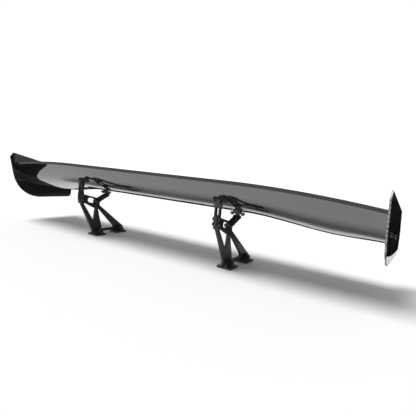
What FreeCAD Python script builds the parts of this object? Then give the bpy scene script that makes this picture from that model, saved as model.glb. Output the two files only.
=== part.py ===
import FreeCAD, Part
import math
import os

# Rear wing on two stands, in millimetres.
# X runs along the span (+X is the right-hand end seen from behind the car), Y points forward, Z is up.
# The origin is under the middle of the wing, on the surface that the feet stand on.
V = FreeCAD.Vector

# ---------------------------------------------------------------- overall
SPAN = 1445.0               # over the outer faces of the end plates, at the blade's tip
DEPTH = 311.0               # rear edge of the blade to the front edge of the end plates
STAND_SPACING = 580.0       # centre of one stand to centre of the other

# ---------------------------------------------------------------- blade
CHORD = 274.0
CHORD_ANGLE = 16.0          # nose-down angle of the chord, degrees
CAMBER = 35.5               # largest distance from the chord to the mean line
CAMBER_PLACE = 0.70         # where that is, as a part of the chord from the leading edge
BLADE_THICK = 32.5
TRAILING_THICK = 4.0
SKIN = 2.0
DROOP_START = 325.0         # half-span where the flat middle ends
NOSE_DROOP = 29.0           # how far the leading edge comes down outboard
NOSE_DROOP_RUN = 265.0      # over this much span
NOSE_RISE = 7.0             # how much of that it gives back by the tip
TAIL_DROOP = 25.5           # how far the trailing edge comes down at the tip
TAIL_SWEEP = 16.0           # and how far forward it runs there
CORE_START = 0.03           # inner pieces fill the blade between these parts of the chord
CORE_END = 0.93
BOND_LINE = 0.5             # adhesive gap between the skins and what is bonded inside them
SECTION_POINTS = 17
OUTER_SECTIONS = 9
FRONT_SPAR_PLACE = 0.22
REAR_SPAR_PLACE = 0.66
SPAR_THICK = 5.0
RIB_THICK = 14.0
GURNEY_HEIGHT = 5.0
GURNEY_THICK = 1.5
GURNEY_FOOT = 12.0
GURNEY_BOND = 0.4           # adhesive under the strip

# ---------------------------------------------------------------- end plates
PLATE_THICK = 4.0
PLATE_ABOVE_TAIL = 50.5     # rear top corner above the trailing edge
PLATE_BELOW_TAIL = 137.5    # rear of the bottom edge below the trailing edge
PLATE_REAR_TOP = 20.5       # rear top corner forward of the blade's rear edge
PLATE_REAR_INSET = 6.5      # rear corner forward of the blade's rear edge
PLATE_REAR_SNIP = 17.5      # height of the snipped corner
PLATE_REAR_RAKE = 0.2276    # the rear edge leans forward going down
PLATE_REAR_RADIUS = 130.0
PLATE_TOP_SLOPE = 0.245     # the top edge comes down going forward
PLATE_BOTTOM_SLOPE = 0.0155
PLATE_FRONT_RADIUS = 22.0   # front corner of the bottom edge
PLATE_FRONT_HEIGHT = 60.0   # upright stretch of the front edge
PLATE_FRONT_BEND = 60.0     # radius where the front edge starts to lean back
PLATE_FRONT_RAKE = 0.52     # then it leans back this much going up
PLATE_FRONT_TOP = 14.0      # radius at the top of the front edge
PLATE_CORNER = 5.0
LIP_HEIGHT = 20.0           # the bottom edge is rolled inward over this height
LIP_RADIUS = 60.0
LIP_TURN = 60.0             # how far the sheet is rolled before it is trimmed, degrees
PLATE_SCREWS = ((0.6435, 4.2), (0.245, 1.5))   # part of the tip's chord, and height above its mean line
INSERT_R = 4.5              # threaded inserts in the tip ribs
INSERT_LENGTH = 11.0
INSERT_SPARE = 1.0          # insert length left past the end of the screw

# ---------------------------------------------------------------- stand plates
# Places on a stand are given as u, forward from the rear foot's rear edge, and z.
STAND_THICK = 9.0
PLATE_FLOOR = 0.5           # gap under the stand plate, inside each foot
END_INSET = 2.5             # the plate's ends stop short of the ends of the feet
END_CORNER = 2.0
COLUMN_BACK = 68.4          # the column's rear edge overhangs the rear foot by this much
COLUMN_WIDTH = 22.0
COLUMN_TOP = 166.0
COLUMN_CORNER = 3.0
KINK_HEIGHT = 140.0         # where the rear leg bends into the column
KINK_RADIUS = 12.0
BRIDGE_HEIGHT = 158.0       # bridge where it leaves the column
BRIDGE_CORNER = 2.0
NOSE_TOP = (13.4, 142.7)    # the nose that carries the front arm
NOSE_FRONT = (27.6, 137.0)
NOSE_LOW = (29.6, 128.0)
NOSE_CORNER = 4.0
CROTCH = (27.5, 114.5)      # where the front leg leaves the nose
CROTCH_RADIUS = 5.0
BAR_BOTTOM = 12.5           # underside of the bar between the feet
BAR_CORNER = 3.0
LEG_REAR_U = 6.0
LEG_FRONT_HEIGHT = 22.0
LEG_FRONT_CORNER = 4.0
WINDOW_LENGTH = 34.5        # long hole in the bridge
WINDOW_HEIGHT = 17.0
WINDOW_MIDDLE = (-11.4, 134.0)
WINDOW_SLOPE = -15.0
REAR_WINDOW = ((-50.5, 130.0), (9.0, 102.5), (3.5, 54.5))
FRONT_WINDOW = ((18.0, 108.0), (44.5, 22.0), (109.0, 22.6))
WINDOW_CORNER = 2.5
EDGE_BREAK = 0.6

# ---------------------------------------------------------------- feet
FOOT_LENGTH = 50.0
FOOT_WIDTH = 48.0
FOOT_GAP = 58.5             # clear distance between the rear foot and the front foot
FOOT_FLANGE = 5.0
FOOT_CORNER = 4.0
PAD_THICK = 1.5
PAD_INSET = 0.5
CHEEK_THICK = 5.5
CHEEK_HEIGHT = 20.5         # above the flange
CHEEK_TOP = 20.0            # length of a cheek at its top
CHEEK_INSET = 2.0           # a cheek is shorter than its flange by this much at each end
CHEEK_TOE = 3.0             # height of a cheek at its ends
CHEEK_CORNER = 5.0
WELD_SIZE = 2.0             # bead along the outside of each cheek
FOOT_BOLT_HEIGHT = 17.5
DECK_HOLE_R = 3.3
DECK_HOLE_SPACING = 31.0

# ---------------------------------------------------------------- front arms
ARM_THICK = 3.5
ARM_WIDTH = 13.5
ARM_ANGLE = 24.3            # slope of the arms, degrees
ARM_LOW = (11.5, 129.1)     # lower bolt in the stand's nose
ARM_BOLT_PITCH = 13.0
ARM_LENGTH = 54.8           # lower bolt to front pivot

# ---------------------------------------------------------------- rear links
LINK_THICK = 3.5
LINK_WIDTH = 12.0
LINK_BOLT_LOW = 139.2       # height of the lower column bolt
LINK_BOLT_PITCH = 15.2
LINK_END = 3.0              # metal left beyond the end of the slot
PIVOT_TRAVEL = 4.0          # blade tilt each way, degrees

# ---------------------------------------------------------------- wing brackets
FLANGE_THICK = 4.0
FLANGE_WIDTH = 48.0
FLANGE_DEPTH = 14.0
FLANGE_CORNER = 4.0
FLANGE_SCREW_SPACING = 36.0
FRONT_SEAT_FROM_TAIL = 145.4   # front pivot forward of the blade's rear edge
RISER_THICK = 4.5           # block between the front flange and the blade
RISER_WIDTH = 25.0
RISER_DEPTH = 13.0
RISER_CORNER = 2.0
SLEEVE_WALL = 1.5           # spacer tubes round the front flange screws
FRONT_LUG = 9.4             # flange to front pivot
REAR_SEAT_AHEAD = 9.5       # rear seat forward of the rear pivot
REAR_LUG = 14.0             # flange to rear pivot, square to the flange
LUG_ROOT_INSET = 0.5        # the lug's root is narrower than the flange by this much at each end
LUG_ROOT_SINK = 1.0         # the lug's root reaches this far into the flange
EYE_R = 6.0
HARDPOINT_WIDTH = 52.0      # solid block inside the blade above each bracket
HARDPOINT_DEPTH = 30.0
HARDPOINT_AHEAD = 4.0       # rear block forward of its bracket's seat
FRONT_SCREW_DEPTH = 14.0    # into the blade, from its underside
REAR_SCREW_DEPTH = 7.5

# ---------------------------------------------------------------- fasteners
M5 = {"r": 2.5, "head_r": 4.75, "head_h": 2.75, "key_af": 3.0, "wash_r": 5.0}
M6 = {"r": 3.0, "head_r": 5.25, "head_h": 3.3, "key_af": 4.0, "wash_r": 6.0, "nut_af": 10.0, "nut_h": 4.0}
M8 = {"r": 4.0, "head_r": 6.5, "head_h": 8.0, "key_af": 6.0, "wash_r": 8.0, "nut_af": 13.0, "nut_h": 6.5}
HEAD_TOP = 0.55             # top of a domed head, as a part of its radius
DOME_POINT = (0.85, 0.6)    # where the dome passes, as parts of the head's radius and height
HEAD_CHAMFER = 0.5
NUT_CHAMFER = 0.3
WASHER_THICK = 1.2
BOLT_TAIL = 1.0             # thread that shows past a nut

# ---------------------------------------------------------------- clearances
HOLE_CLEAR = 0.25           # radial, bolt in a plain hole
PIVOT_FIT = 0.05            # radial, pivot bolt in its bore
SLIDE_GAP = 0.35            # between a link and what it slides against
LUG_GAP = 0.35              # between a lug and the plates each side of it
SLOT_CLEAR = 0.2            # each side of a bolt in a link's slot
OPEN_PIVOT_CLEAR = 0.5      # each side of the rear pivot bolt in its lug's slot

# ---------------------------------------------------------------- worked out
COS_A = math.cos(math.radians(CHORD_ANGLE))
SIN_A = math.sin(math.radians(CHORD_ANGLE))
TAIL_Y = -DEPTH / 2
NOSE_Y = TAIL_Y + CHORD * COS_A
FRONT_PIVOT_Y = TAIL_Y + FRONT_SEAT_FROM_TAIL
ARM_COS = math.cos(math.radians(ARM_ANGLE))
ARM_SIN = math.sin(math.radians(ARM_ANGLE))
FRONT_PIVOT_Z = ARM_LOW[1] + ARM_LENGTH * ARM_SIN
STAND_Y = FRONT_PIVOT_Y - ARM_LOW[0] - ARM_LENGTH * ARM_COS
LINK_U = -COLUMN_BACK + COLUMN_WIDTH / 2
REAR_PIVOT_Y = STAND_Y + LINK_U
FOOT_BASE = PAD_THICK + FOOT_FLANGE
FRONT_FOOT_U = FOOT_LENGTH + FOOT_GAP
HALF_PLATE = STAND_THICK / 2
LUG_THICK = STAND_THICK - 2 * LUG_GAP
SIDES = {"left": -1, "right": 1}


def naca_half_thickness(s):
    """Half thickness of the blade at the part s of the chord."""
    poly = 0.2969 * math.sqrt(s) - 0.1260 * s - 0.3516 * s**2 + 0.2843 * s**3 - 0.1015 * s**4
    return 5 * BLADE_THICK * poly + TRAILING_THICK / 2 * s


def mean_line(s):
    """Drop of the mean line below the chord."""
    p = CAMBER_PLACE
    if s < p:
        return CAMBER / p**2 * (2 * p * s - s**2)
    return CAMBER / (1 - p)**2 * ((1 - 2 * p) + 2 * p * s - s**2)


def surface_point(s, side):
    """Along-chord and up coordinates of the upper (+1) or lower (-1) surface."""
    return (s * CHORD, -mean_line(s) + side * naca_half_thickness(s))


def inset_point(s, side, inset):
    """The surface point moved inward, square to the surface."""
    step = 1e-4
    a = surface_point(max(s - step, 0.0), side)
    b = surface_point(min(s + step, 1.0), side)
    run = math.hypot(b[0] - a[0], b[1] - a[1])
    p = surface_point(s, side)
    return (p[0] + side * inset * (b[1] - a[1]) / run, p[1] - side * inset * (b[0] - a[0]) / run)


def inside_point(s, side):
    """Point on the inner face of a skin; where the blade is thin the two skins meet on the mean line."""
    along, up = inset_point(s, side, SKIN)
    middle = -mean_line(along / CHORD)
    return (along, middle + side * max(side * (up - middle), 0.0))


def stations(start, end):
    """Parts of the chord, closer together towards both edges."""
    return [start + (end - start) * (1 - math.cos(math.pi * i / (SECTION_POINTS - 1))) / 2
            for i in range(SECTION_POINTS)]


def smooth(t):
    t = min(max(t, 0.0), 1.0)
    return t * t * (3 - 2 * t)


def nose_point(x):
    drop = NOSE_DROOP * smooth((abs(x) - DROOP_START) / NOSE_DROOP_RUN)
    low_x = DROOP_START + NOSE_DROOP_RUN
    rise = NOSE_RISE * smooth((abs(x) - low_x) / (SPAN / 2 - low_x))
    return (NOSE_Y, NOSE_Z - drop + rise)


def tail_point(x):
    run = SPAN / 2 - DROOP_START
    t = max((abs(x) - DROOP_START) / run, 0.0)
    return (TAIL_Y + TAIL_SWEEP * t * t, NOSE_Z + CHORD * SIN_A - TAIL_DROOP * t * t)


def place_in_section(x, p):
    """Chord coordinates (along, up) to a point in space, at the span position x."""
    nose = nose_point(x)
    tail = tail_point(x)
    chord = math.hypot(tail[0] - nose[0], tail[1] - nose[1])
    ey = (tail[0] - nose[0]) / chord
    ez = (tail[1] - nose[1]) / chord
    return V(x, nose[0] + p[0] * chord / CHORD * ey + p[1] * ez,
             nose[1] + p[0] * chord / CHORD * ez - p[1] * ey)


def middle_underside(y):
    """Height of the blade's underside above the nose point, at y, and its slope, in the flat middle."""
    low, high = 0.05, 0.99
    for _ in range(60):
        s = (low + high) / 2
        along, up = surface_point(s, -1)
        if NOSE_Y - along * COS_A + up * SIN_A > y:
            low = s
        else:
            high = s
    a = inset_point(s, -1, 0.0)
    b = inset_point(s, -1, 1.0)
    normal = (b[0] - a[0], b[1] - a[1])
    up_y = -normal[0] * COS_A + normal[1] * SIN_A
    up_z = normal[0] * SIN_A + normal[1] * COS_A
    return a[0] * SIN_A + a[1] * COS_A, (-up_y, -up_z)


FRONT_SEAT_RISE, FRONT_DOWN = middle_underside(FRONT_PIVOT_Y)
FRONT_SEAT_Z = FRONT_PIVOT_Z + FRONT_LUG + FLANGE_THICK + RISER_THICK
NOSE_Z = FRONT_SEAT_Z - FRONT_SEAT_RISE
REAR_SEAT_Y = REAR_PIVOT_Y + REAR_SEAT_AHEAD
REAR_SEAT_RISE, REAR_DOWN = middle_underside(REAR_SEAT_Y)
REAR_SEAT_Z = NOSE_Z + REAR_SEAT_RISE
REAR_PIVOT_Z = (REAR_SEAT_Z + (FLANGE_THICK + REAR_LUG) / REAR_DOWN[1]
                + (REAR_PIVOT_Y - REAR_SEAT_Y) * -REAR_DOWN[0] / REAR_DOWN[1])
LINK_TRAVEL = (FRONT_PIVOT_Y - REAR_PIVOT_Y) * math.radians(PIVOT_TRAVEL)
LUG_TRAVEL = (REAR_PIVOT_Z - FRONT_PIVOT_Z) * math.radians(PIVOT_TRAVEL)
LINK_BOLT_HIGH = LINK_BOLT_LOW + LINK_BOLT_PITCH
LINK_SLOT_R = M6["r"] + SLOT_CLEAR
LINK_X = HALF_PLATE + SLIDE_GAP
PLATE_REAR_Z = tail_point(SPAN / 2)[1]
PLATE_BOTTOM_Z = PLATE_REAR_Z - PLATE_BELOW_TAIL
LIP_Z = PLATE_BOTTOM_Z + LIP_HEIGHT
PLATE_X = SPAN / 2 - PLATE_THICK   # inner face of an end plate
FRONT_SEAT = (FRONT_PIVOT_Y, FRONT_SEAT_Z)
REAR_SEAT = (REAR_SEAT_Y, REAR_SEAT_Z)


# ---------------------------------------------------------------- drawing helpers
def spline(points):
    curve = Part.BSplineCurve()
    curve.interpolate(points)
    return curve.toShape()


def line(a, b):
    return Part.LineSegment(a, b).toShape()


def outline(corners, x=0.0):
    """Closed wire in the plane of the given x, from (y, z, corner radius)."""
    edges = []
    last = None
    first = None
    count = len(corners)
    for i in range(count):
        y, z, r = corners[i]
        here = V(x, y, z)
        before = V(x, corners[i - 1][0], corners[i - 1][1])
        after = V(x, corners[(i + 1) % count][0], corners[(i + 1) % count][1])
        come = (here - before).normalize()
        go = (after - here).normalize()
        if r > 0:
            half = come.getAngle(go) / 2
            reach = r * math.tan(half)
            start = here - come * reach
            end = here + go * reach
            inward = (go - come).normalize()
            middle = here + inward * (r / math.cos(half) - r)
        else:
            start = here
            end = here
        if last is not None:
            edges.append(line(last, start))
        if r > 0:
            edges.append(Part.Arc(start, middle, end).toShape())
        first = first or start
        last = end
    edges.append(line(last, first))
    return Part.Wire(edges)


def prism(corners, x0, x1):
    """Solid with the given outline, from x0 to x1."""
    low, high = min(x0, x1), max(x0, x1)
    return Part.Face(outline(corners, low)).extrude(V(high - low, 0, 0))


def stadium(a, b, r):
    """Corners of a bar with round ends of radius r about the points a and b."""
    run = math.hypot(b[0] - a[0], b[1] - a[1])
    ty, tz = (b[0] - a[0]) / run, (b[1] - a[1]) / run
    near = 0.999 * r
    return [(a[0] - ty * r + tz * r, a[1] - tz * r - ty * r, near),
            (b[0] + ty * r + tz * r, b[1] + tz * r - ty * r, near),
            (b[0] + ty * r - tz * r, b[1] + tz * r + ty * r, near),
            (a[0] - ty * r - tz * r, a[1] - tz * r + ty * r, near)]


def rod(r, length, base, axis):
    return Part.makeCylinder(r, length, base, axis)


def cross_hole(r, y, z, x):
    """Cutter along X through everything near the span position x."""
    return rod(r, 8 * STAND_THICK, V(x - 4 * STAND_THICK, y, z), V(1, 0, 0))


def box(x0, x1, y0, y1, z0, z1):
    return Part.makeBox(x1 - x0, y1 - y0, z1 - z0, V(x0, y0, z0))


def round_uprights(shape, radius, direction):
    """Round the corner edges that run along the direction."""
    straight = [e for e in shape.Edges if isinstance(e.Curve, Part.Line)]
    edges = [e for e in straight if abs(e.tangentAt(e.FirstParameter).cross(direction).Length) < 1e-6]
    return shape.makeFillet(radius, edges)


def lay(shape, origin, axis):
    """Move a fastener drawn along +Z, seated at the origin, to its place."""
    turn = FreeCAD.Rotation(V(0, 0, 1), axis)
    moved = shape.copy()
    moved.Placement = FreeCAD.Placement(origin, turn)
    return moved


# ---------------------------------------------------------------- fastener shapes
def hexagon(across, height):
    r = across / 2 / math.cos(math.pi / 6)
    points = [V(r * math.cos(math.pi / 3 * i), r * math.sin(math.pi / 3 * i), 0) for i in range(7)]
    return Part.Face(Part.makePolygon(points)).extrude(V(0, 0, height))


def cap_screw(size, shank):
    """Socket head screw: the head's seat is at z = 0 and the shank runs down."""
    head = Part.makeCylinder(size["head_r"], size["head_h"])
    top_rim = [e for e in head.Edges if abs(e.CenterOfMass.z - size["head_h"]) < 1e-6]
    head = head.makeChamfer(HEAD_CHAMFER, top_rim)
    return finish_screw(head, size, shank)


def button_screw(size, shank):
    """Domed socket screw: the head's seat is at z = 0 and the shank runs down."""
    r, h = size["head_r"], size["head_h"]
    middle = V(DOME_POINT[0] * r, 0, DOME_POINT[1] * h)
    profile = Part.Wire([line(V(0, 0, 0), V(r, 0, 0)),
                         Part.Arc(V(r, 0, 0), middle, V(HEAD_TOP * r, 0, h)).toShape(),
                         line(V(HEAD_TOP * r, 0, h), V(0, 0, h)), line(V(0, 0, h), V(0, 0, 0))])
    head = Part.Face(profile).revolve(V(0, 0, 0), V(0, 0, 1), 360)
    return finish_screw(head, size, shank)


def finish_screw(head, size, shank):
    """Cut the key socket half way into the head, and add the shank."""
    depth = size["head_h"] / 2
    key = hexagon(size["key_af"], depth)
    key.translate(V(0, 0, size["head_h"] - depth))
    return head.cut(key).fuse(rod(size["r"], shank, V(0, 0, -shank), V(0, 0, 1)))


def nut(size):
    """Nut seated at z = 0, open along +Z."""
    blank = hexagon(size["nut_af"], size["nut_h"])
    rim = size["nut_af"] / 2 + NUT_CHAMFER
    corner = Part.makeCone(rim + size["nut_h"], rim, size["nut_h"])
    return blank.common(corner).cut(rod(size["r"], size["nut_h"], V(0, 0, 0), V(0, 0, 1)))


def washer(size):
    ring = Part.makeCylinder(size["wash_r"], WASHER_THICK)
    return ring.cut(Part.makeCylinder(size["r"] + HOLE_CLEAR, WASHER_THICK))


def cross_bolt(size, screw, place, half, side):
    """Bolt, nut and washers across a stack of the given half width, with the nut on the inner side."""
    x, y, z = place
    seat = half + WASHER_THICK
    shank = 2 * seat + size["nut_h"] + BOLT_TAIL
    out = V(side, 0, 0)
    bolt = lay(screw(size, shank), V(x + side * seat, y, z), out)
    hexnut = lay(nut(size), V(x - side * seat, y, z), -out)
    rings = [lay(washer(size), V(x + side * half, y, z), out),
             lay(washer(size), V(x - side * half, y, z), -out)]
    return bolt, hexnut, rings


# ---------------------------------------------------------------- blade
def span_positions():
    """Section positions from the end of the flat middle to just past the tip."""
    run = SPAN / 2 + PLATE_THICK - DROOP_START
    return [DROOP_START + run * i / (OUTER_SECTIONS - 1) for i in range(OUTER_SECTIONS)]


def loft(section):
    """Solid through the section wires: a straight middle and a drooping stretch each side, sewn together."""
    outer = span_positions()
    middle = Part.Face(section(-DROOP_START)).extrude(V(2 * DROOP_START, 0, 0))
    right = Part.makeLoft([section(x) for x in outer], True, False)
    left = Part.makeLoft([section(-x) for x in outer], True, False)
    faces = []
    for stretch in (middle, right, left):
        for face in stretch.Faces:
            is_joint = face.BoundBox.XLength < 1 and abs(face.CenterOfMass.x) < SPAN / 2
            if not is_joint:
                faces.append(face)
    shell = Part.makeShell(faces)
    shell.sewShape()
    return Part.Solid(shell)


def loft_ruled(section):
    """Solid through the section wires, straight from each one to the next."""
    outer = span_positions()
    stretch = [-x for x in outer[::-1]] + outer
    return Part.makeLoft([section(x) for x in stretch], True, True)


def skin_section(side):
    """Maker of the closed section of the upper (+1) or lower (-1) skin."""
    def section(x):
        outside = [place_in_section(x, surface_point(s, side)) for s in stations(0.0, 1.0)]
        inner = [inside_point(s, side) for s in stations(0.0, 1.0)]
        inner[0] = (SKIN, 0.0)
        inner[-1] = (CHORD, 0.0)
        inside = [place_in_section(x, p) for p in inner]
        return Part.Wire([spline(outside), line(outside[-1], inside[-1]),
                          spline(inside[::-1]), line(inside[0], outside[0])])
    return section


def core_section(x):
    """Section of the space inside the skins, less the bond line."""
    places = stations(CORE_START, CORE_END)
    upper = [place_in_section(x, inset_point(s, 1, SKIN + BOND_LINE)) for s in places]
    lower = [place_in_section(x, inset_point(s, -1, SKIN + BOND_LINE)) for s in places]
    return Part.Wire([spline(lower), line(lower[-1], upper[-1]),
                      spline(upper[::-1]), line(upper[0], lower[0])])


def gurney_section(x):
    """L-shaped strip that stands on the upper skin, flush with the trailing edge."""
    low = TRAILING_THICK / 2 + GURNEY_BOND
    top = low + GURNEY_HEIGHT
    bend = CHORD - GURNEY_THICK
    toe = CHORD - GURNEY_FOOT
    toe_low = surface_point(toe / CHORD, 1)[1] + GURNEY_BOND
    bend_low = surface_point(bend / CHORD, 1)[1] + GURNEY_BOND
    shape = [(CHORD, low), (CHORD, top), (bend, top), (bend, bend_low + GURNEY_THICK),
             (toe, toe_low + GURNEY_THICK), (toe, toe_low)]
    points = [place_in_section(x, p) for p in shape]
    return Part.makePolygon(points + [points[0]])


def between_plates(margin=0.0):
    """The space between the inner faces of the end plates, less a margin at each end."""
    return box(-PLATE_X + margin, PLATE_X - margin, -DEPTH, DEPTH, 0, 2 * FRONT_SEAT_Z)


def spar(core, place):
    y = NOSE_Y - CHORD * place * COS_A
    slab = box(-SPAN, SPAN, y - SPAR_THICK / 2, y + SPAR_THICK / 2, 0, 2 * FRONT_SEAT_Z)
    return core.common(slab).common(between_plates(RIB_THICK))


def tip_rib(core, side):
    ends = sorted([side * (PLATE_X - RIB_THICK), side * PLATE_X])
    return core.common(box(ends[0], ends[1], -DEPTH, DEPTH, 0, 2 * FRONT_SEAT_Z))


def plate_screw_places():
    """Where the end plate screws cross the tip of the blade, as (y, z)."""
    points = [place_in_section(SPAN / 2, (s * CHORD, up - mean_line(s))) for s, up in PLATE_SCREWS]
    return [(p.y, p.z) for p in points]


def plate_point(side, y, z, out=0.0):
    """Point on the end plate's inner face, moved outward by out."""
    return V(side * (PLATE_X + out), y, z)


def hardpoint(core, x, seat_y):
    return core.common(box(x - HARDPOINT_WIDTH / 2, x + HARDPOINT_WIDTH / 2, seat_y - HARDPOINT_DEPTH / 2,
                           seat_y + HARDPOINT_DEPTH / 2, 0, 2 * FRONT_SEAT_Z))


# ---------------------------------------------------------------- end plates
def end_plate_outline():
    rear = TAIL_Y + PLATE_REAR_INSET
    front = TAIL_Y + DEPTH
    top = (TAIL_Y + PLATE_REAR_TOP, PLATE_REAR_Z + PLATE_ABOVE_TAIL)
    corner_z = top[1] - PLATE_REAR_SNIP
    base_y = rear + (corner_z - PLATE_BOTTOM_Z) * PLATE_REAR_RAKE
    front_z = PLATE_BOTTOM_Z - PLATE_BOTTOM_SLOPE * (front - base_y)
    bend_z = front_z + PLATE_FRONT_HEIGHT
    # the leaning front edge and the top edge meet where their two slopes cross
    rise = (top[1] - PLATE_TOP_SLOPE * (front - top[0]) - bend_z) / (1 - PLATE_TOP_SLOPE * PLATE_FRONT_RAKE)
    return [(top[0], top[1], PLATE_CORNER), (rear, corner_z, PLATE_CORNER),
            (base_y, PLATE_BOTTOM_Z, PLATE_REAR_RADIUS), (front, front_z, PLATE_FRONT_RADIUS),
            (front, bend_z, PLATE_FRONT_BEND),
            (front - PLATE_FRONT_RAKE * rise, bend_z + rise, PLATE_FRONT_TOP)]


def end_plate_sheet(side):
    """Upright sheet with its bottom rolled inward, longer than the plate."""
    turn = math.radians(LIP_TURN)

    def on_arc(radius, angle):
        return V(PLATE_X - LIP_RADIUS + radius * math.cos(angle), -DEPTH, LIP_Z - radius * math.sin(angle))

    def arc(radius, start, end):
        return Part.Arc(on_arc(radius, start), on_arc(radius, turn / 2), on_arc(radius, end)).toShape()

    inner_top = V(PLATE_X, -DEPTH, 2 * FRONT_SEAT_Z)
    outer_top = V(PLATE_X + PLATE_THICK, -DEPTH, 2 * FRONT_SEAT_Z)
    inner_r = LIP_RADIUS
    outer_r = LIP_RADIUS + PLATE_THICK
    wire = Part.Wire([line(inner_top, on_arc(inner_r, 0)), arc(inner_r, 0, turn),
                      line(on_arc(inner_r, turn), on_arc(outer_r, turn)), arc(outer_r, turn, 0),
                      line(on_arc(outer_r, 0), outer_top), line(outer_top, inner_top)])
    sheet = Part.Face(wire).extrude(V(0, 2 * DEPTH, 0))
    if side < 0:
        sheet = sheet.mirror(V(0, 0, 0), V(1, 0, 0))
    return sheet


def end_plate(side):
    blank = prism(end_plate_outline(), 0, side * SPAN)
    plate = end_plate_sheet(side).common(blank)
    for y, z in plate_screw_places():
        start = plate_point(side, y, z, -PLATE_THICK)
        plate = plate.cut(rod(M6["r"] + HOLE_CLEAR, 4 * PLATE_THICK, start, V(side, 0, 0)))
    return plate


# ---------------------------------------------------------------- stands
def at_stand(corners):
    """Stand corners, measured forward from the rear foot's rear edge, to the part's y."""
    return [(STAND_Y + u, z, r) for u, z, r in corners]


def arm_point(along):
    return (STAND_Y + ARM_LOW[0] + along * ARM_COS, ARM_LOW[1] + along * ARM_SIN)


def stand_corners():
    floor = FOOT_BASE + PLATE_FLOOR
    rear_end = FOOT_LENGTH - END_INSET
    front_start = FRONT_FOOT_U + END_INSET
    front_end = FRONT_FOOT_U + FOOT_LENGTH - END_INSET
    column_front = -COLUMN_BACK + COLUMN_WIDTH
    return [(LEG_REAR_U, floor, END_CORNER), (rear_end, floor, END_CORNER),
            (FOOT_LENGTH, BAR_BOTTOM, BAR_CORNER), (FRONT_FOOT_U, BAR_BOTTOM, BAR_CORNER),
            (front_start, floor, END_CORNER), (front_end, floor, END_CORNER),
            (front_end, LEG_FRONT_HEIGHT, LEG_FRONT_CORNER), CROTCH + (CROTCH_RADIUS,),
            NOSE_LOW + (NOSE_CORNER,), NOSE_FRONT + (NOSE_CORNER,), NOSE_TOP + (NOSE_CORNER,),
            (column_front, BRIDGE_HEIGHT, BRIDGE_CORNER), (column_front, COLUMN_TOP, COLUMN_CORNER),
            (-COLUMN_BACK, COLUMN_TOP, COLUMN_CORNER), (-COLUMN_BACK, KINK_HEIGHT, KINK_RADIUS)]


def bolt_places():
    """Where bolts cross the stand plate: name to (y, z, hole radius)."""
    places = {}
    places["foot_rear"] = (STAND_Y + FOOT_LENGTH / 2, FOOT_BOLT_HEIGHT, M8["r"] + HOLE_CLEAR)
    places["foot_front"] = (STAND_Y + FRONT_FOOT_U + FOOT_LENGTH / 2, FOOT_BOLT_HEIGHT, M8["r"] + HOLE_CLEAR)
    places["link_low"] = (REAR_PIVOT_Y, LINK_BOLT_LOW, M6["r"] + HOLE_CLEAR)
    places["link_high"] = (REAR_PIVOT_Y, LINK_BOLT_HIGH, M6["r"] + HOLE_CLEAR)
    places["arm_low"] = arm_point(0) + (M6["r"] + HOLE_CLEAR,)
    places["arm_high"] = arm_point(ARM_BOLT_PITCH) + (M6["r"] + HOLE_CLEAR,)
    return places


def stand_plate(x):
    plate = prism(at_stand(stand_corners()), x - HALF_PLATE, x + HALF_PLATE)
    for window in (REAR_WINDOW, FRONT_WINDOW):
        corners = at_stand([(u, z, WINDOW_CORNER) for u, z in window])
        plate = plate.cut(prism(corners, x - STAND_THICK, x + STAND_THICK))
    reach = (WINDOW_LENGTH - WINDOW_HEIGHT) / 2
    tilt = math.radians(WINDOW_SLOPE)
    middle = (STAND_Y + WINDOW_MIDDLE[0], WINDOW_MIDDLE[1])
    ends = [(middle[0] + k * reach * math.cos(tilt), middle[1] + k * reach * math.sin(tilt)) for k in (-1, 1)]
    plate = plate.cut(prism(stadium(ends[0], ends[1], WINDOW_HEIGHT / 2), x - STAND_THICK, x + STAND_THICK))
    rims = [e for e in plate.Edges if abs(abs(e.CenterOfMass.x - x) - HALF_PLATE) < 1e-6]
    plate = plate.makeChamfer(EDGE_BREAK, rims)
    for y, z, r in bolt_places().values():
        plate = plate.cut(cross_hole(r, y, z, x))
    return plate


def foot(x, u):
    """Base flange with two tapered cheeks that hold the stand plate."""
    y0 = STAND_Y + u
    body = box(x - FOOT_WIDTH / 2, x + FOOT_WIDTH / 2, y0, y0 + FOOT_LENGTH, PAD_THICK, FOOT_BASE)
    body = round_uprights(body, FOOT_CORNER, V(0, 0, 1))
    mid = y0 + FOOT_LENGTH / 2
    half = FOOT_LENGTH / 2 - CHEEK_INSET
    root = FOOT_BASE - FOOT_FLANGE / 2
    toe = FOOT_BASE + CHEEK_TOE
    top = FOOT_BASE + CHEEK_HEIGHT
    corners = [(mid - half, root, 0), (mid + half, root, 0), (mid + half, toe, CHEEK_TOE),
               (mid + CHEEK_TOP / 2, top, CHEEK_CORNER), (mid - CHEEK_TOP / 2, top, CHEEK_CORNER),
               (mid - half, toe, CHEEK_TOE)]
    for k in (-1, 1):
        body = body.fuse(prism(corners, x + k * HALF_PLATE, x + k * (HALF_PLATE + CHEEK_THICK)))
        body = body.fuse(weld_bead(x, k, mid - half + WELD_SIZE, mid + half - WELD_SIZE))
    body = body.cut(cross_hole(M8["r"] + HOLE_CLEAR, mid, FOOT_BOLT_HEIGHT, x))
    for k in (-1, 1):
        body = body.cut(rod(DECK_HOLE_R, FOOT_BASE, V(x + k * DECK_HOLE_SPACING / 2, mid, 0), V(0, 0, 1)))
    return body.removeSplitter()


def weld_bead(x, k, y0, y1):
    """Bead of triangular section where a cheek meets the flange."""
    face = x + k * (HALF_PLATE + CHEEK_THICK)
    points = [V(face + k * a * WELD_SIZE, y0, FOOT_BASE + b * WELD_SIZE)
              for a, b in ((-1, -1), (-1, 1), (0, 1), (1, 0), (1, -1), (-1, -1))]
    return Part.Face(Part.makePolygon(points)).extrude(V(0, y1 - y0, 0))


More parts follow.
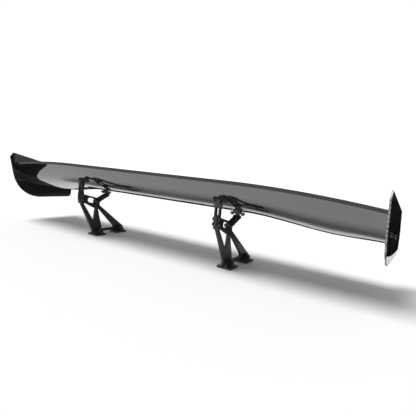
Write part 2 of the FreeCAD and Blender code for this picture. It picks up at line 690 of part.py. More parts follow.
def foot_pad(x, u):
    y0 = STAND_Y + u
    half = FOOT_WIDTH / 2 - PAD_INSET
    pad = box(x - half, x + half, y0 + PAD_INSET, y0 + FOOT_LENGTH - PAD_INSET, 0, PAD_THICK)
    pad = round_uprights(pad, FOOT_CORNER - PAD_INSET, V(0, 0, 1))
    for k in (-1, 1):
        centre = V(x + k * DECK_HOLE_SPACING / 2, y0 + FOOT_LENGTH / 2, 0)
        pad = pad.cut(rod(DECK_HOLE_R, PAD_THICK, centre, V(0, 0, 1)))
    return pad


def front_arm(x, k):
    """Flat bar on one side of the stand plate, from the nose to the front pivot."""
    bar = prism(stadium(arm_point(0), arm_point(ARM_LENGTH), ARM_WIDTH / 2),
                x + k * HALF_PLATE, x + k * (HALF_PLATE + ARM_THICK))
    for along in (0, ARM_BOLT_PITCH, ARM_LENGTH):
        y, z = arm_point(along)
        bar = bar.cut(cross_hole(M6["r"] + HOLE_CLEAR, y, z, x))
    return bar


def rear_link(x, k):
    """Slotted flat bar on one side of the column; the slot passes over the two column bolts."""
    low = LINK_BOLT_LOW - LINK_TRAVEL
    high = LINK_BOLT_HIGH + LINK_TRAVEL
    bottom = low - LINK_SLOT_R - LINK_END + LINK_WIDTH / 2
    bar = prism(stadium((REAR_PIVOT_Y, bottom), (REAR_PIVOT_Y, REAR_PIVOT_Z), LINK_WIDTH / 2),
                x + k * LINK_X, x + k * (LINK_X + LINK_THICK))
    slot_ends = stadium((REAR_PIVOT_Y, low), (REAR_PIVOT_Y, high), LINK_SLOT_R)
    slot = prism(slot_ends, x - STAND_THICK, x + STAND_THICK)
    return bar.cut(slot).cut(cross_hole(M6["r"] + HOLE_CLEAR, REAR_PIVOT_Y, REAR_PIVOT_Z, x))


# ---------------------------------------------------------------- wing brackets
def on_seat(seat, down, along, out):
    """Point in the y-z plane, from the seat: along it towards the front, and out from the blade."""
    return (seat[0] - down[1] * along + down[0] * out, seat[1] + down[0] * along + down[1] * out)


def seat_block(seat, down, x, width, depth, out0, out1, radius):
    half = depth / 2
    places = ((-half, out0), (half, out0), (half, out1), (-half, out1))
    corners = [on_seat(seat, down, along, out) + (0,) for along, out in places]
    block = prism(corners, x - width / 2, x + width / 2)
    return round_uprights(block, radius, V(0, down[0], down[1]))


def wing_bracket(seat, down, x, flange_out, pivot):
    """Flange under the blade with one lug down to the pivot."""
    base = flange_out + FLANGE_THICK
    flange = seat_block(seat, down, x, FLANGE_WIDTH, FLANGE_DEPTH, flange_out, base, FLANGE_CORNER)
    reach = FLANGE_DEPTH / 2 - LUG_ROOT_INSET
    a = on_seat(seat, down, -reach, base - LUG_ROOT_SINK)
    b = on_seat(seat, down, reach, base - LUG_ROOT_SINK)
    dy, dz = pivot[0] - (a[0] + b[0]) / 2, pivot[1] - (a[1] + b[1]) / 2
    run = math.hypot(dy, dz)
    off = (-dz / run * EYE_R, dy / run * EYE_R)
    ends = [(pivot[0] + off[0], pivot[1] + off[1], 0), (pivot[0] - off[0], pivot[1] - off[1], 0)]
    if (b[0] - a[0]) * off[0] + (b[1] - a[1]) * off[1] < 0:
        ends.reverse()
    web = prism([(a[0], a[1], 0), (b[0], b[1], 0)] + ends, x - LUG_THICK / 2, x + LUG_THICK / 2)
    eye = rod(EYE_R, LUG_THICK, V(x - LUG_THICK / 2, pivot[0], pivot[1]), V(1, 0, 0))
    bracket = flange.fuse([web, eye])
    for place in flange_screw_places(seat, down, x, 0.0):
        bracket = bracket.cut(rod(M5["r"] + HOLE_CLEAR, 6 * FLANGE_THICK, place, V(0, down[0], down[1])))
    return bracket


def flange_screw_places(seat, down, x, out):
    y, z = on_seat(seat, down, 0.0, out)
    return [V(x + k * FLANGE_SCREW_SPACING / 2, y, z) for k in (-1, 1)]


def front_bracket(x):
    bracket = wing_bracket(FRONT_SEAT, FRONT_DOWN, x, RISER_THICK, (FRONT_PIVOT_Y, FRONT_PIVOT_Z))
    return bracket.cut(cross_hole(M6["r"] + PIVOT_FIT, FRONT_PIVOT_Y, FRONT_PIVOT_Z, x)).removeSplitter()


def rear_bracket(x):
    """The rear lug is wide enough for a slot that lets the pivot bolt move along the blade."""
    bracket = wing_bracket(REAR_SEAT, REAR_DOWN, x, 0.0, (REAR_PIVOT_Y, REAR_PIVOT_Z))
    slot_r = M6["r"] + OPEN_PIVOT_CLEAR
    ends = [(REAR_PIVOT_Y + k * LUG_TRAVEL, REAR_PIVOT_Z) for k in (-1, 1)]
    wall = EYE_R - M6["r"]
    eye = prism(stadium(ends[0], ends[1], slot_r + wall), x - LUG_THICK / 2, x + LUG_THICK / 2)
    slot = prism(stadium(ends[0], ends[1], slot_r), x - STAND_THICK, x + STAND_THICK)
    return bracket.fuse(eye).cut(slot).removeSplitter()


def screw_set(seat, down, x, flange_out, depth):
    """Screws and washers through a bracket flange into the blade."""
    head_seat = flange_out + FLANGE_THICK + WASHER_THICK
    out = V(0, down[0], down[1])
    ring_seat = flange_out + FLANGE_THICK
    screw = button_screw(M5, head_seat + depth)
    screws = [lay(screw, p, out) for p in flange_screw_places(seat, down, x, head_seat)]
    rings = [lay(washer(M5), p, out) for p in flange_screw_places(seat, down, x, ring_seat)]
    return screws, rings


def seat_holes(seat, down, x, depth, r):
    """Cutters for the two screw holes above a bracket seat."""
    out = V(0, down[0], down[1])
    return [rod(r, depth + 2 * SKIN, p - out * depth, out) for p in flange_screw_places(seat, down, x, 0.0)]


# ---------------------------------------------------------------- assembly
def build_blade(parts):
    space = between_plates()
    lower = loft(skin_section(-1)).common(space)
    upper = loft(skin_section(1)).common(space)
    core = loft(core_section)
    parts["gurney_strip"] = loft_ruled(gurney_section).common(space)
    parts["front_spar"] = spar(core, FRONT_SPAR_PLACE)
    parts["rear_spar"] = spar(core, REAR_SPAR_PLACE)
    for name, side in SIDES.items():
        x = side * STAND_SPACING / 2
        front = hardpoint(core, x, FRONT_PIVOT_Y)
        rear = hardpoint(core, x, REAR_SEAT_Y + HARDPOINT_AHEAD)
        for hole in seat_holes(FRONT_SEAT, FRONT_DOWN, x, FRONT_SCREW_DEPTH, M5["r"]):
            front = front.cut(hole)
        for hole in seat_holes(REAR_SEAT, REAR_DOWN, x, REAR_SCREW_DEPTH, M5["r"]):
            rear = rear.cut(hole)
        for seat, down in ((FRONT_SEAT, FRONT_DOWN), (REAR_SEAT, REAR_DOWN)):
            for hole in seat_holes(seat, down, x, 2 * SKIN, M5["r"] + HOLE_CLEAR):
                lower = lower.cut(hole)
        parts["front_hardpoint_" + name] = front
        parts["rear_hardpoint_" + name] = rear
        parts["tip_rib_" + name] = bored_rib(tip_rib(core, side), side)
    parts["blade_lower_skin"] = lower
    parts["blade_upper_skin"] = upper


def bored_rib(rib, side):
    for y, z in plate_screw_places():
        rib = rib.cut(rod(INSERT_R, INSERT_LENGTH, plate_point(side, y, z, -INSERT_LENGTH), V(side, 0, 0)))
    return rib


def build_end_plates(parts):
    screws, washers, inserts = [], [], []
    head_seat = PLATE_THICK + WASHER_THICK
    screw = button_screw(M6, head_seat + INSERT_LENGTH - INSERT_SPARE)
    for name, side in SIDES.items():
        parts["end_plate_" + name] = end_plate(side)
        out = V(side, 0, 0)
        for y, z in plate_screw_places():
            washers.append(lay(washer(M6), plate_point(side, y, z, PLATE_THICK), out))
            screws.append(lay(screw, plate_point(side, y, z, head_seat), out))
            base = plate_point(side, y, z, -INSERT_LENGTH)
            bore = rod(M6["r"], INSERT_LENGTH, base, out)
            inserts.append(rod(INSERT_R, INSERT_LENGTH, base, out).cut(bore))
    parts["end_plate_screws"] = Part.makeCompound(screws)
    parts["end_plate_washers"] = Part.makeCompound(washers)
    parts["tip_rib_inserts"] = Part.makeCompound(inserts)


def build_brackets(parts):
    front_screws, rear_screws, washers, sleeves = [], [], [], []
    for name, side in SIDES.items():
        x = side * STAND_SPACING / 2
        parts["front_bracket_" + name] = front_bracket(x)
        parts["rear_bracket_" + name] = rear_bracket(x)
        parts["bracket_riser_" + name] = seat_block(FRONT_SEAT, FRONT_DOWN, x, RISER_WIDTH, RISER_DEPTH,
                                                    0.0, RISER_THICK, RISER_CORNER)
        out = V(0, FRONT_DOWN[0], FRONT_DOWN[1])
        for p in flange_screw_places(FRONT_SEAT, FRONT_DOWN, x, 0.0):
            bore = M5["r"] + HOLE_CLEAR
            sleeves.append(rod(bore + SLEEVE_WALL, RISER_THICK, p, out).cut(rod(bore, RISER_THICK, p, out)))
        more, rings = screw_set(FRONT_SEAT, FRONT_DOWN, x, RISER_THICK, FRONT_SCREW_DEPTH)
        front_screws += more
        washers += rings
        more, rings = screw_set(REAR_SEAT, REAR_DOWN, x, 0.0, REAR_SCREW_DEPTH)
        rear_screws += more
        washers += rings
    parts["front_bracket_screws"] = Part.makeCompound(front_screws)
    parts["rear_bracket_screws"] = Part.makeCompound(rear_screws)
    parts["bracket_washers"] = Part.makeCompound(washers)
    parts["bracket_sleeves"] = Part.makeCompound(sleeves)


def build_stands(parts):
    places = bolt_places()
    places["front_pivot"] = (FRONT_PIVOT_Y, FRONT_PIVOT_Z)
    arm_half = HALF_PLATE + ARM_THICK
    link_half = LINK_X + LINK_THICK
    stacks = {"foot": (M8, cap_screw, HALF_PLATE + CHEEK_THICK, ("foot_rear", "foot_front")),
              "arm": (M6, button_screw, arm_half, ("arm_low", "arm_high")),
              "front_pivot": (M6, button_screw, arm_half, ("front_pivot",)),
              "column": (M6, button_screw, link_half + SLIDE_GAP, ("link_low", "link_high"))}
    bolts = {kind: [] for kind in stacks}
    nuts = {"m6": [], "m8": []}
    washers = {"m6": [], "m8": []}
    for name, side in SIDES.items():
        x = side * STAND_SPACING / 2
        parts["stand_plate_" + name] = stand_plate(x)
        for end, u in (("rear", 0.0), ("front", FRONT_FOOT_U)):
            parts["foot_" + end + "_" + name] = foot(x, u)
            parts["foot_pad_" + end + "_" + name] = foot_pad(x, u)
        for which, k in (("outer", side), ("inner", -side)):
            parts["front_arm_" + which + "_" + name] = front_arm(x, k)
            parts["rear_link_" + which + "_" + name] = rear_link(x, k)
        for kind, (size, screw, half, where) in stacks.items():
            thread = "m8" if kind == "foot" else "m6"
            for place in where:
                y, z = places[place][:2]
                bolt, hexnut, rings = cross_bolt(size, screw, (x, y, z), half, side)
                bolts[kind].append(bolt)
                nuts[thread].append(hexnut)
                washers[thread].extend(rings)
        bolt, hexnut, rings = cross_bolt(M6, button_screw, (x, REAR_PIVOT_Y, REAR_PIVOT_Z), link_half, side)
        parts["rear_pivot_bolt_" + name] = bolt
        parts["rear_pivot_nut_" + name] = hexnut
        parts["rear_pivot_washers_" + name] = Part.makeCompound(rings)
    for kind, heads in bolts.items():
        parts[kind + "_bolts"] = Part.makeCompound(heads)
    for thread in nuts:
        parts[thread + "_nuts"] = Part.makeCompound(nuts[thread])
        parts[thread + "_washers"] = Part.makeCompound(washers[thread])


def main():
    parts = {}
    build_blade(parts)
    build_end_plates(parts)
    build_brackets(parts)
    build_stands(parts)
    os.makedirs("parts", exist_ok=True)
    for name, shape in parts.items():
        shape.exportStep("parts/" + name + ".step")
    print(len(parts), "nodes; front pivot", round(FRONT_PIVOT_Y, 2), round(FRONT_PIVOT_Z, 2),
          "rear pivot", round(REAR_PIVOT_Y, 2), round(REAR_PIVOT_Z, 2),
          "link travel", round(LINK_TRAVEL, 3), "nose", round(NOSE_Y, 2), round(NOSE_Z, 2))


main()
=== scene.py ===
import math

import bpy
from mathutils import Matrix, Vector

# Looks for the rear wing. Metres, in the frame of the CAD model: X along the span, Y forward, Z up.

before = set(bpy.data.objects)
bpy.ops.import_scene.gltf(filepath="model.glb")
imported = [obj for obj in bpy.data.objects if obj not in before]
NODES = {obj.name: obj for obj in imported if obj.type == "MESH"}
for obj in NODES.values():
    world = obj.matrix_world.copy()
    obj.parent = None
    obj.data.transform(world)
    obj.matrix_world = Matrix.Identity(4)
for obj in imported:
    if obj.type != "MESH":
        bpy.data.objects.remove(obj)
bpy.context.view_layer.update()

# ---------------------------------------------------------------- camera
CAMERA_PLACE = Vector((0.8184, -1.0174, 0.3087))
CAMERA_AZIMUTH = 32.31      # degrees, from straight behind towards the right-hand end
CAMERA_ELEVATION = 6.89     # looking down
CAMERA_ROLL = 4.79
CAMERA_LENS = 32.34         # millimetres
CAMERA_SENSOR = 36.0        # millimetres

# ---------------------------------------------------------------- light
KEY_STRENGTH = 2.9          # overhead soft light
KEY_SPREAD = 34.0           # degrees across, which sets how soft the shadow is
KEY_TILT = (17.0, -20.0)    # degrees from straight down, about X and about Y
SKY_STRENGTH = 0.30
BACKDROP_STRENGTH = 1.05    # also the world's strength as the camera sees it
BACKDROP_AWAY = 7.0         # ahead of the wing
BACKDROP_LEFT = 5.25        # its middle, towards the left-hand end
BACKDROP_HEIGHT = 7.0
BACKDROP_WIDTH = 28.0
BACKDROP_RUN = (1.0, 0.55, 0.0)
FLOOR_SIZE = 40.0
# Upright cards that only reflections see: one end, the other end, foot and top heights, and their own glow.
# The first three are dark, and tip_card stands in for the left end plate's reflection. The last is bright.
CARDS = {"side_card": ((0.755, 0.72), (1.15, -0.72), 0.0, 0.3, 0.0),
         "front_card": ((-3.0, 0.3), (0.72, 0.3), 0.0, 0.15, 0.0),
         "tip_card": ((-0.74, -0.6), (-0.74, 0.15), 0.085, 0.26, 0.0),
         "rear_glow": ((-1.6, -1.5), (2.2, -1.5), 0.0, 0.32, 2.5)}

# ---------------------------------------------------------------- laminate
TOW = 0.002                 # width of one tow of the woven cloth
TWILL_REPEAT = 4.0          # tows in one repeat of the 2x2 twill
WARP_ON_TOP = 1.5           # the repeat's steps below this have the warp on top
FIBRE_SCALE = 900.0
CHORD_SLOPE = 16.0          # the blade's chord, degrees nose down
CUT_EDGE_TONE = 0.34        # light ends of the tows
CUT_EDGE_FACING = 0.6       # cosine between a face and the cloth, below which the face is a cut edge
CUT_EDGE_DASH = 0.9         # the repeat's steps below this are dark dashes along a cut edge
# end plates' weft and warp tones; their difference is the weave, partly with a painted sheen of the fibres
PLATE_WEFT = 0.02
PLATE_WARP = 0.007
PLATE_COAT_IOR = 1.45
FIBRE_DRAWN = 0.06          # the fibre pattern's frequency along a tow, as part of that across it
BASE_SPECULAR = 0.03        # the cloth under the clear coat hardly shines
COAT_ROUGHNESS = 0.012
WEAVE_RELIEF = 0.00008
RIPPLE_RELIEF = 0.00003     # slow unevenness of the clear coat

# ---------------------------------------------------------------- metal
EDGE_WEAR_AND_HIGHLIGHT_RANGE = (0.35, 0.65)  # values of the broad noise from the faintest lighter edges to the strongest; the lighter edges are partly wear and partly a painted highlight
EDGE_WEAR_AND_HIGHLIGHT_TONE = 0.12          # lighter edges of coated parts: bare metal from wear, and a painted edge highlight
# lighter edges of anodised plate: partly wear, partly a painted edge highlight
ANODISE_EDGE_WEAR_AND_HIGHLIGHT = 0.16
EDGE_RANGE = (0.9, 0.995)   # agreement of the rounded and the flat normal, from sharp edge to flat face


# ---------------------------------------------------------------- node helpers
def new_material(name):
    material = bpy.data.materials.new(name)
    material.use_nodes = True
    tree = material.node_tree
    return material, tree, tree.nodes["Principled BSDF"]


def feed(tree, socket, value):
    """Connect a socket, or set a plain value."""
    if isinstance(value, bpy.types.NodeSocket):
        tree.links.new(value, socket)
    else:
        socket.default_value = value


def calc(tree, operation, a, b=0.0):
    node = tree.nodes.new("ShaderNodeMath")
    node.operation = operation
    feed(tree, node.inputs[0], a)
    feed(tree, node.inputs[1], b)
    return node.outputs[0]


def position(tree):
    return tree.nodes.new("ShaderNodeTexCoord").outputs["Object"]


def along(tree, place, direction, scale=1.0):
    """Distance along a direction, times the scale."""
    node = tree.nodes.new("ShaderNodeVectorMath")
    node.operation = "DOT_PRODUCT"
    tree.links.new(place, node.inputs[0])
    node.inputs[1].default_value = Vector(direction) * scale
    return node.outputs["Value"]


def noise(tree, place, scale, detail=3.0, stretch=(1.0, 1.0, 1.0)):
    mapping = tree.nodes.new("ShaderNodeMapping")
    mapping.inputs["Scale"].default_value = stretch
    tree.links.new(place, mapping.inputs["Vector"])
    node = tree.nodes.new("ShaderNodeTexNoise")
    node.inputs["Scale"].default_value = scale
    node.inputs["Detail"].default_value = detail
    tree.links.new(mapping.outputs[0], node.inputs["Vector"])
    return node.outputs["Fac"]


def ramp(tree, factor, low, high, start=0.0, end=1.0):
    """Factor from start..end to low..high, which are numbers."""
    node = tree.nodes.new("ShaderNodeMapRange")
    tree.links.new(factor, node.inputs["Value"])
    node.inputs["From Min"].default_value = start
    node.inputs["From Max"].default_value = end
    node.inputs["To Min"].default_value = low
    node.inputs["To Max"].default_value = high
    return node.outputs[0]


def mix_colour(tree, factor, a, b):
    node = tree.nodes.new("ShaderNodeMix")
    node.data_type = "RGBA"
    feed(tree, node.inputs["Factor"], factor)
    feed(tree, node.inputs["A"], a)
    feed(tree, node.inputs["B"], b)
    return node.outputs["Result"]


def bump(tree, height, distance, strength):
    node = tree.nodes.new("ShaderNodeBump")
    node.inputs["Distance"].default_value = distance
    node.inputs["Strength"].default_value = strength
    tree.links.new(height, node.inputs["Height"])
    return node.outputs[0]


def grey(value):
    return (value, value, value * 1.01, 1.0)


def edge_wear_and_highlight(tree, radius):
    """1 on sharp edges and 0 on flat faces: the mask for lighter edges that are partly wear and partly a
    painted highlight.
    """
    bevel = tree.nodes.new("ShaderNodeBevel")
    bevel.samples = 6
    bevel.inputs["Radius"].default_value = radius
    geometry = tree.nodes.new("ShaderNodeNewGeometry")
    dot = tree.nodes.new("ShaderNodeVectorMath")
    dot.operation = "DOT_PRODUCT"
    tree.links.new(bevel.outputs[0], dot.inputs[0])
    tree.links.new(geometry.outputs["Normal"], dot.inputs[1])
    return ramp(tree, dot.outputs["Value"], 1.0, 0.0, *EDGE_RANGE)


# ---------------------------------------------------------------- materials
def drawn_across(direction):
    """Noise frequency by axis: full along the direction and low on the others, so fibres run across it."""
    return [FIBRE_DRAWN + (1.0 - FIBRE_DRAWN) * abs(part) for part in direction]


def twill_laminate(name, across, up, weft=0.011, warp=0.006, coat_ior=2.4, cut_edge=None):
    """Clear-coated 2x2 twill cloth; across and up are the directions its tows run in.

    Faces square to the direction cut_edge are whole cloth, and the others show the cut ends of its tows.
    """
    material, tree, shader = new_material(name)
    place = position(tree)
    u = along(tree, place, across, 1 / TOW)
    v = along(tree, place, up, 1 / TOW)
    step = calc(tree, "ADD", calc(tree, "FLOOR", u), calc(tree, "FLOOR", v))
    phase = calc(tree, "FLOORED_MODULO", step, TWILL_REPEAT)
    on_top = calc(tree, "LESS_THAN", phase, WARP_ON_TOP)
    crown_u = calc(tree, "SINE", calc(tree, "MULTIPLY", calc(tree, "FRACT", u), math.pi))
    crown_v = calc(tree, "SINE", calc(tree, "MULTIPLY", calc(tree, "FRACT", v), math.pi))
    difference = calc(tree, "SUBTRACT", crown_u, crown_v)
    height = calc(tree, "ADD", crown_v, calc(tree, "MULTIPLY", difference, on_top))
    fibres_up = noise(tree, place, FIBRE_SCALE, 2.0, drawn_across(across))
    fibres_across = noise(tree, place, FIBRE_SCALE, 2.0, drawn_across(up))
    # weft and warp tones: the woven pattern, with the fibres' sheen painted in as the difference between them
    weave_tone_and_sheen = mix_colour(tree, on_top, grey(weft), grey(warp))
    fibre_grain_and_glint = mix_colour(tree, on_top, fibres_across, fibres_up)
    # streaks lighten the tone towards grey(weft * 1.8): the fibres' grain with a painted glint
    tone = mix_colour(tree, ramp(tree, fibre_grain_and_glint, 0.0, 0.45, 0.3, 0.7), weave_tone_and_sheen, grey(weft * 1.8))
    cloud = noise(tree, place, 14.0, 4.0)
    tone = mix_colour(tree, ramp(tree, cloud, 0.0, 0.25), tone, grey(warp))
    if cut_edge is not None:
        normal = tree.nodes.new("ShaderNodeTexCoord").outputs["Normal"]
        facing = calc(tree, "ABSOLUTE", along(tree, normal, cut_edge))
        dash = calc(tree, "LESS_THAN", phase, CUT_EDGE_DASH)
        ends = ramp(tree, dash, CUT_EDGE_TONE, CUT_EDGE_TONE / 6)
        tone = mix_colour(tree, calc(tree, "LESS_THAN", facing, CUT_EDGE_FACING), tone, ends)
    tree.links.new(tone, shader.inputs["Base Color"])
    tree.links.new(ramp(tree, height, 0.52, 0.40), shader.inputs["Roughness"])
    tree.links.new(bump(tree, height, WEAVE_RELIEF, 0.5), shader.inputs["Normal"])
    shader.inputs["Specular IOR Level"].default_value = BASE_SPECULAR
    shader.inputs["Coat Weight"].default_value = 1.0
    shader.inputs["Coat Roughness"].default_value = COAT_ROUGHNESS
    shader.inputs["Coat IOR"].default_value = coat_ior
    ripple = noise(tree, place, 38.0, 2.0)
    tree.links.new(bump(tree, ripple, RIPPLE_RELIEF, 0.06), shader.inputs["Coat Normal"])
    return material


def coated_metal(name, tone, roughness, grain):
    """Satin black finish with a fine grain, faint handling marks, and lighter edges that are partly wear and
    partly a painted highlight.
    """
    material, tree, shader = new_material(name)
    place = position(tree)
    fine = noise(tree, place, grain, 3.0)
    broad = noise(tree, place, 24.0, 4.0)
    edge = edge_wear_and_highlight(tree, 0.0007)
    # lighter edges: partly wear, partly a painted edge highlight
    worn_and_highlit_edges = calc(tree, "MULTIPLY", edge, ramp(tree, broad, 0.25, 1.0, *EDGE_WEAR_AND_HIGHLIGHT_RANGE))
    base = mix_colour(tree, ramp(tree, broad, 0.0, 1.0, 0.3, 0.7), grey(tone * 0.8), grey(tone * 1.25))
    tree.links.new(mix_colour(tree, worn_and_highlit_edges, base, grey(EDGE_WEAR_AND_HIGHLIGHT_TONE)), shader.inputs["Base Color"])
    uneven = calc(tree, "ADD", ramp(tree, broad, -0.05, 0.06), ramp(tree, fine, -0.04, 0.04))
    tree.links.new(calc(tree, "ADD", uneven, roughness), shader.inputs["Roughness"])
    tree.links.new(bump(tree, fine, 0.00004, 0.5), shader.inputs["Normal"])
    shader.inputs["Specular IOR Level"].default_value = 0.5
    return material


def brushed_black(name, tone, roughness, direction):
    """Anodised plate with fine machining lines along a direction."""
    material, tree, shader = new_material(name)
    place = position(tree)
    lines = noise(tree, place, 700.0, 2.0, [1.0 - 0.96 * abs(d) for d in direction])
    broad = noise(tree, place, 18.0, 4.0)
    edge = edge_wear_and_highlight(tree, 0.0006)
    # lighter edges: partly wear, partly a painted edge highlight
    worn_and_highlit_edges = calc(tree, "MULTIPLY", edge, ramp(tree, broad, 0.3, 1.0, *EDGE_WEAR_AND_HIGHLIGHT_RANGE))
    base = mix_colour(tree, lines, grey(tone * 0.8), grey(tone * 1.3))
    tree.links.new(mix_colour(tree, worn_and_highlit_edges, base, grey(ANODISE_EDGE_WEAR_AND_HIGHLIGHT)), shader.inputs["Base Color"])
    tree.links.new(calc(tree, "ADD", ramp(tree, lines, -0.06, 0.06), roughness), shader.inputs["Roughness"])
    tree.links.new(bump(tree, lines, 0.00002, 0.4), shader.inputs["Normal"])
    shader.inputs["Metallic"].default_value = 0.35
    return material


def plated_steel(name, tone, roughness, metallic=0.9):
    """Fastener finish: a little mottling and brighter corners."""
    material, tree, shader = new_material(name)
    place = position(tree)
    mottle = noise(tree, place, 420.0, 4.0)
    edge = edge_wear_and_highlight(tree, 0.0004)
    base = mix_colour(tree, mottle, grey(tone * 0.7), grey(tone * 1.3))
    # brighter corners: partly wear, partly a painted highlight
    worn_and_highlit_corners = calc(tree, "MULTIPLY", edge, 0.6)
    tree.links.new(mix_colour(tree, worn_and_highlit_corners, base, grey(min(tone * 3.0, 0.6))), shader.inputs["Base Color"])
    tree.links.new(calc(tree, "ADD", ramp(tree, mottle, -0.08, 0.08), roughness), shader.inputs["Roughness"])
    tree.links.new(bump(tree, mottle, 0.00003, 0.4), shader.inputs["Normal"])
    shader.inputs["Metallic"].default_value = metallic
    return material


def moulded(name, tone, roughness, grain, depth):
    """Rubber, foam or bare composite with a pebbled surface."""
    material, tree, shader = new_material(name)
    place = position(tree)
    cells = tree.nodes.new("ShaderNodeTexVoronoi")
    cells.inputs["Scale"].default_value = grain
    tree.links.new(place, cells.inputs["Vector"])
    broad = noise(tree, place, 30.0, 3.0)
    base = mix_colour(tree, broad, grey(tone * 0.75), grey(tone * 1.3))
    tree.links.new(base, shader.inputs["Base Color"])
    tree.links.new(ramp(tree, broad, roughness - 0.06, roughness + 0.06), shader.inputs["Roughness"])
    tree.links.new(bump(tree, cells.outputs["Distance"], depth, 0.6), shader.inputs["Normal"])
    return material


def brass(name):
    material = plated_steel(name, tone=0.5, roughness=0.3, metallic=1.0)
    shader = material.node_tree.nodes["Principled BSDF"]
    source = shader.inputs["Base Color"].links[0].from_socket
    tint = mix_colour(material.node_tree, 0.75, source, (0.72, 0.52, 0.22, 1.0))
    material.node_tree.links.new(tint, shader.inputs["Base Color"])
    return material


def paint(material, *names):
    """Give CAD nodes a material; a name ending in * takes every node that starts so."""
    for name in names:
        chosen = [n for n in NODES if n.startswith(name[:-1])] if name.endswith("*") else [name]
        for n in chosen:
            NODES[n].data.materials.clear()
            NODES[n].data.materials.append(material)


def paint_everything():
    slope = math.radians(CHORD_SLOPE)
    chordwise = (0.0, -math.cos(slope), math.sin(slope))
    paint(twill_laminate("blade_laminate", (1, 0, 0), chordwise), "blade_upper_skin", "blade_lower_skin")
    paint(twill_laminate("gurney_laminate", (1, 0, 0), (0, 0, 1)), "gurney_strip")
    paint(twill_laminate("end_plate_laminate", (0, 1, 0), (0, 0, 1), PLATE_WEFT, PLATE_WARP, PLATE_COAT_IOR,
                         (1, 0, 0)), "end_plate_left", "end_plate_right")
    paint(moulded("core_composite", tone=0.06, roughness=0.7, grain=500.0, depth=0.0001), "front_spar",
          "rear_spar", "tip_rib_left", "tip_rib_right", "front_hardpoint*", "rear_hardpoint*")
    paint(brass("insert_brass"), "tip_rib_inserts")
    paint(brushed_black("anodised_plate", tone=0.014, roughness=0.34, direction=(0, 0, 1)), "stand_plate*")
    paint(coated_metal("foot_coating", tone=0.016, roughness=0.42, grain=1500.0), "foot_rear*", "foot_front*")
    paint(coated_metal("arm_coating", tone=0.020, roughness=0.36, grain=1700.0), "front_arm*", "rear_link_*")
    paint(coated_metal("bracket_coating", tone=0.020, roughness=0.40, grain=1500.0), "front_bracket_left",
          "front_bracket_right", "rear_bracket_left", "rear_bracket_right", "bracket_riser*")
    paint(moulded("pad_rubber", tone=0.02, roughness=0.82, grain=900.0, depth=0.00015), "foot_pad*")
    paint(plated_steel("black_oxide", tone=0.045, roughness=0.36), "foot_bolts", "arm_bolts",
          "front_pivot_bolts", "column_bolts", "rear_pivot_bolt*", "end_plate_screws",
          "front_bracket_screws", "rear_bracket_screws")
    paint(plated_steel("dark_zinc", tone=0.09, roughness=0.34), "m6_nuts", "m8_nuts", "m6_washers",
          "m8_washers", "rear_pivot_nut*", "rear_pivot_washers*", "bracket_washers", "end_plate_washers")
    paint(plated_steel("turned_aluminium", tone=0.5, roughness=0.28, metallic=1.0), "bracket_sleeves")


# ---------------------------------------------------------------- stage
def flat_panel(name, corners):
    mesh = bpy.data.meshes.new(name)
    mesh.from_pydata(corners, [], [(0, 1, 2, 3)])
    panel = bpy.data.objects.new(name, mesh)
    bpy.context.scene.collection.objects.link(panel)
    return panel


def glowing(name, strength):
    material = bpy.data.materials.new(name)
    material.use_nodes = True
    nodes = material.node_tree.nodes
    nodes.clear()
    emission = nodes.new("ShaderNodeEmission")
    emission.inputs["Strength"].default_value = strength
    output = nodes.new("ShaderNodeOutputMaterial")
    material.node_tree.links.new(emission.outputs[0], output.inputs[0])
    return material


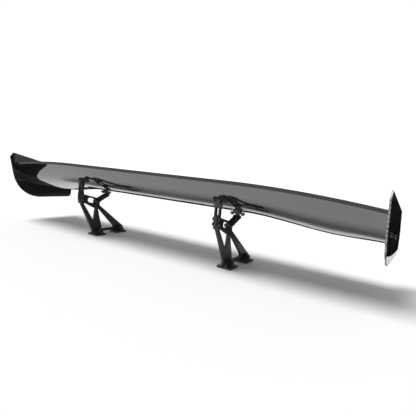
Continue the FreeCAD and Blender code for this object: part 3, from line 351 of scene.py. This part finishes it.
def make_stage():
    reach = FLOOR_SIZE / 2
    corners = [(-reach, -reach, 0), (reach, -reach, 0), (reach, reach, 0), (-reach, reach, 0)]
    floor = flat_panel("floor", corners)
    material, tree, shader = new_material("floor_white")
    cloud = noise(tree, position(tree), 3.0)
    tree.links.new(mix_colour(tree, cloud, grey(0.86), grey(0.88)), shader.inputs["Base Color"])
    shader.inputs["Roughness"].default_value = 0.9
    shader.inputs["Specular IOR Level"].default_value = 0.0
    floor.data.materials.append(material)

    middle = Vector((-BACKDROP_LEFT, BACKDROP_AWAY, 0))
    side = Vector(BACKDROP_RUN).normalized() * BACKDROP_WIDTH / 2
    top = Vector((0, 0, BACKDROP_HEIGHT))
    left, right = middle - side, middle + side
    backdrop = flat_panel("backdrop", [left, right, right + top, left + top])
    backdrop.data.materials.append(glowing("backdrop_white", BACKDROP_STRENGTH))

    for name, (start, end, foot, top, strength) in CARDS.items():
        card = flat_panel(name, [(*start, foot), (*end, foot), (*end, top), (*start, top)])
        card.data.materials.append(glowing(name, strength))
        card.visible_shadow = False
        card.visible_diffuse = False
        card.visible_camera = False


def make_lights():
    sun = bpy.data.lights.new("key", "SUN")
    sun.energy = KEY_STRENGTH
    sun.angle = math.radians(KEY_SPREAD)
    lamp = bpy.data.objects.new("key", sun)
    lamp.rotation_euler = (math.radians(KEY_TILT[0]), math.radians(KEY_TILT[1]), 0.0)
    bpy.context.scene.collection.objects.link(lamp)
    world = bpy.data.worlds.new("sky")
    world.use_nodes = True
    tree = world.node_tree
    sky = tree.nodes["Background"]
    sky.inputs["Color"].default_value = (1.0, 1.0, 1.0, 1.0)
    seen = tree.nodes.new("ShaderNodeLightPath").outputs["Is Camera Ray"]
    tree.links.new(ramp(tree, seen, SKY_STRENGTH, BACKDROP_STRENGTH), sky.inputs["Strength"])
    bpy.context.scene.world = world


def make_camera():
    azimuth, elevation, roll = (math.radians(a) for a in (CAMERA_AZIMUTH, CAMERA_ELEVATION, CAMERA_ROLL))
    back = Vector((math.sin(azimuth) * math.cos(elevation), -math.cos(azimuth) * math.cos(elevation),
                   math.sin(elevation)))
    level = back.cross(Vector((0, 0, 1))).normalized() * -1
    upright = back.cross(level)
    right = level * math.cos(roll) + upright * math.sin(roll)
    up = upright * math.cos(roll) - level * math.sin(roll)
    camera = bpy.data.objects.new("camera", bpy.data.cameras.new("camera"))
    camera.data.lens = CAMERA_LENS
    camera.data.sensor_width = CAMERA_SENSOR
    camera.data.clip_end = 100.0
    camera.matrix_world = Matrix.Translation(CAMERA_PLACE) @ Matrix((right, up, back)).transposed().to_4x4()
    bpy.context.scene.collection.objects.link(camera)
    bpy.context.scene.camera = camera


paint_everything()
make_stage()
make_lights()
make_camera()
bpy.context.scene.view_settings.view_transform = "Standard"
